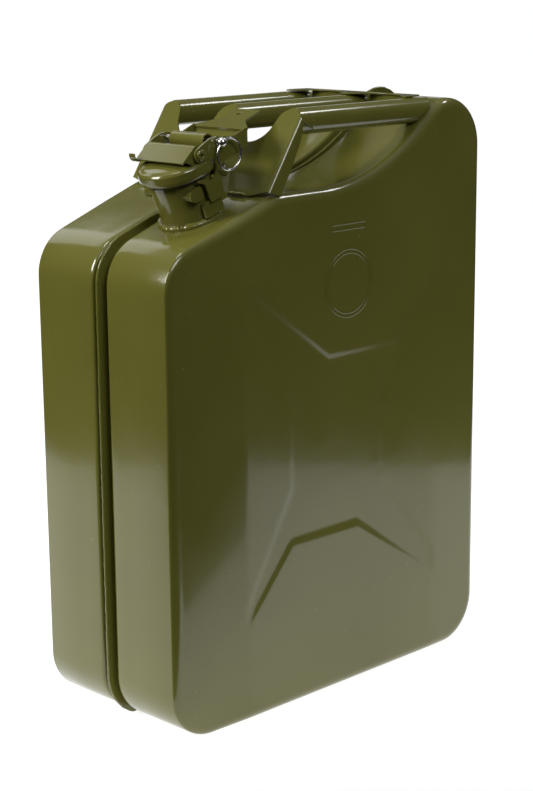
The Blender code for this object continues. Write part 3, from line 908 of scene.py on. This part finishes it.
def cheek_outline():
    eye = curl((PIVOT_S, PIVOT_N), 5.5, 250, 105, 12)
    top = [(9.0, 57.4), (16.0, 58.0), (21.0, 56.8), (31.0, 52.4), (38.0, 50.2)]
    top += [(51.6, 51.0), (47.4, 38.6), (35.0, 37.0), (21.0, 37.2), (15.8, 34.0)]
    leg = [(14.4, 21.0), (12.4, 14.2), (-0.6, 14.6), (-1.8, 29.4), (-7.6, 33.6)]
    leg += [(-7.2, 34.8), (-1.0, 33.0), (3.2, 30.4), (7.4, 30.2), (10.6, 32.4)]
    leg += [(12.8, 36.2), (13.0, 42.6), (8.0, 44.8)]
    return filleted([eye[-1]] + top + leg + [eye[0]], 1.4)[1:-1] + eye


def lever():
    plan = [(-28.0, 49.0), (28.0, 49.0), (28.0, 52.0), (13.6, 64.0), (13.2, 81.0)]
    plan += [(11.8, 82.0), (-11.8, 82.0), (-13.2, 81.0), (-13.6, 64.0), (-28.0, 52.0)]
    plate = flat("lever_body", plan, SHEET, ENAMEL, CLOSURE @ shift(0, 0, 49.15))
    cheek = cheek_outline()
    parts = [flat("cheek", cheek, SHEET, None, closure_side(x)) for x in (-CHEEK_X, CHEEK_X)]
    web = filleted([(51.6, 49.2), (47.2, 43.8), (45.2, 40.0)], 2.0)
    parts.append(bent_sheet("web", web, SHEET, 55.2, None, closure_side(0)))
    combine(plate, parts, "UNION")
    holes = [
        cylinder(PIN_HOLE_R, 80.0, closure_cross(PIVOT_S, PIVOT_N)),
        cylinder(PIN_HOLE_R, 80.0, closure_cross(SAFETY_S, SAFETY_N)),
        cylinder(1.7, 10.0, CLOSURE @ shift(-2.0, 73.0, 49.0), 24),
    ]
    combine(plate, holes, "DIFFERENCE")
    return done(rounded(plate, 0.35), "lever", "lever")


def pin_sleeve():
    path = curl((SAFETY_S, SAFETY_N - 0.2), 4.9, 212, -32, 30)
    obj = bent_sheet("sleeve", path, 1.3, 36.0, ENAMEL, closure_side(0))
    return done(rounded(obj, 0.3), "lever", "pin_sleeve")


def eye_frame():
    centre = CLOSURE @ Vector((EYE_X * MM, SAFETY_S * MM, SAFETY_N * MM))
    return Matrix.Translation(centre) @ turn(-52.3, "X")


def safety_pin():
    ball = curl((0, EYE_X), 3.7, 88, -66, 16)
    profile = [(0, EYE_X + 3.7)] + ball + [(2.3, 29.2), (2.3, -29.9), (1.6, -30.8), (0, -30.8)]
    pin = turned("locking_pin", profile, STEEL, closure_cross(SAFETY_S, SAFETY_N), 40)
    combine(pin, [cylinder(1.65, 18.0, eye_frame(), 24)], "DIFFERENCE")
    return done(rounded(pin, 0.25), "safety_pin", "safety_pin")


def pull_ring():
    """Split-ring wire, very slightly out of round."""
    points = [(a * 1.01, b * 0.99) for a, b in curl((0, 0), RING_R, 0, 355, 71)]
    curve = path_curve(points, closed=True)
    curve.data.bevel_depth = WIRE_R * MM
    curve.data.bevel_resolution = 4
    ring = from_curve("ring_wire", curve, STEEL, eye_frame() @ shift(0, RING_R, 0) @ turn(90, "Y"))
    return done(smooth(ring), "pull_ring", "pull_ring")


# ---------------------------------------------------------------- the handle


def handle_tube(name, x):
    """A grip tube, let into the bracket in front and the hump behind."""
    middle = (TUBE_FRONT_Y + TUBE_REAR_Y) / 2
    reach, inside = 88.0, TUBE_R - 1.5
    profile = [(TUBE_R, reach), (TUBE_R, -reach), (inside, -reach), (inside, reach)]
    tube = turned(f"{name}_skin", profile, ENAMEL, shift(x, middle, TUBE_Z) @ turn(-90, "X"), 72)
    size = 60.0
    front = shift(x, TUBE_FRONT_Y - 0.6, TUBE_Z) @ turn(-BRACKET_DEG, "X") @ shift(0, -size / 2, 0)
    rear = shift(x, TUBE_REAR_Y + 1.2, TUBE_Z) @ turn(-TUBE_REAR_DEG, "X") @ shift(0, size / 2, 0)
    combine(tube, [block(size, front), block(size, rear)], "DIFFERENCE")
    done(smooth(tube), "can", name)


def bracket_top():
    """The bracket's top edge, from +X to -X: three lobes over the tube ends, scallops between."""
    edge = []
    for x, start, end in ((TUBE_X, -12, 152), (0.0, 28, 152), (-TUBE_X, 28, 192)):
        edge += curl((x, 62.0), 12.2, start, end, 18)
        if x > -TUBE_X:
            edge += curl((x - TUBE_X / 2, 65.0), 20.4, -15, -165, 16)
    return edge


def handle_bracket():
    """One sheet folded back at both sides, then trimmed to its lobes, tapered flanges and foot."""
    side, fold = 76.7, 4.0
    corners = [(-side, 16.0), (-side, 0.0), (side, 0.0), (side, 16.0)]
    path = filleted(corners, fold, steps=6)
    lay = BRACKET @ shift(0, BRACKET_SHEET / 2, 30.0)
    sheet = bent_sheet("bracket_sheet", path, BRACKET_SHEET, 96.0, ENAMEL, lay)
    face = BRACKET @ turn(90, "X")
    above = [(95, 59.4)] + bracket_top() + [(-95, 59.4), (-95, 95), (95, 95)]
    foot = [(77.5, 6.2), (72.0, 5.0), (66.0, 3.2), (60.0, 1.5), (54.0, 0.8)]
    below = [(95, 6.2)] + foot + [(-x, t) for x, t in foot[::-1]] + [(-95, 6.2), (-95, -40), (95, -40)]
    behind = [(12.7, -30), (12.7, -3), (11.7, 30), (9.5, 52), (6.5, 61), (4.5, 67), (40, 67), (40, -30)]
    hem = [(1.5, -40), (1.5, 6.0), (12.0, 8.8), (40, 16.0), (40, -40)]
    cutters = [flat("cut", above, 60.0, None, face), flat("cut", below, 4.0, None, face)]
    cutters += [flat("cut", line, 200.0, None, BRACKET @ SIDEWAYS) for line in (behind, hem)]
    combine(sheet, cutters, "DIFFERENCE")
    return done(rounded(sheet, 0.45), "can", "handle_bracket")


def handle_rear_plate():
    """The plate over the tubes' rear ends, its front edge scalloped between them."""
    outline = []
    for x, start, end in ((-TUBE_X, 270, 325), (0.0, 215, 325), (TUBE_X, 215, 270)):
        outline += curl((x, 100.0), 9.6, start, end, 8)
        if x < TUBE_X:
            scallop = arc((x + TUBE_X / 2, 0.0), 22.0, 160, 20, 14)
            outline += [(point.x, 95.0 + 0.55 * point.y) for point, _ in scallop]
    outline += [(66.0, 98.0), (62.0, 112.0), (-62.0, 112.0), (-66.0, 98.0)]
    plate = flat("rear_plate_sheet", outline, 1.2, ENAMEL, shift(0, 0, 465.6))
    lip = [(109.6, 457.4), (112.0, 457.4), (112.0, 465.6), (109.6, 465.6)]
    middles = [shift(x, 0, 0) @ SIDEWAYS for x in (-32.75, 32.75)]
    combine(plate, [flat("lip", lip, 43.5, None, middle) for middle in middles], "UNION")
    return done(rounded(plate, 0.3), "can", "handle_rear_plate")


def foot_welds():
    """Short beads along the bracket's foot and where each tube meets the bracket."""
    for k, x in enumerate((-46.0, 0.0, 46.0)):
        spots = [BRACKET @ Vector(((x + d) * MM, -0.4 * MM, 1.4 * MM)) / MM for d in range(-9, 10, 1)]
        done(bead(f"foot_weld_{k + 1}", spots, 1.5, 0.45, False, 20.0 + k), "can")
    for k, x in enumerate((-TUBE_X, 0.0, TUBE_X)):
        spots = []
        for step in range(0, 31):
            a = math.radians(200 + 140 * step / 30)
            up = TUBE_R * math.sin(a)
            y = TUBE_FRONT_Y + math.tan(math.radians(BRACKET_DEG)) * up
            spots.append((x + (TUBE_R + 0.3) * math.cos(a), y + 0.8, TUBE_Z + up - 0.3))
        done(bead(f"tube_weld_{k + 1}", spots, 1.1, 0.4, False, 40.0 + k), "can")


shells()
seam_weld()
face_marks()
neck()
neck_weld()
neck_bracket()
hinge_pin()
lid()
lid_gasket()
gasket_retainer()
lid_saddle()
lever_pin()
lever()
pin_sleeve()
safety_pin()
pull_ring()
for tube_name, tube_x in (("left", -TUBE_X), ("middle", 0.0), ("right", TUBE_X)):
    handle_tube(f"handle_tube_{tube_name}", tube_x)
handle_bracket()
handle_rear_plate()
foot_welds()
frame["nodes"]["breather_tube"].data.materials.clear()
frame["nodes"]["breather_tube"].data.materials.append(ENAMEL)

bpy.context.scene.view_settings.view_transform = "Standard"
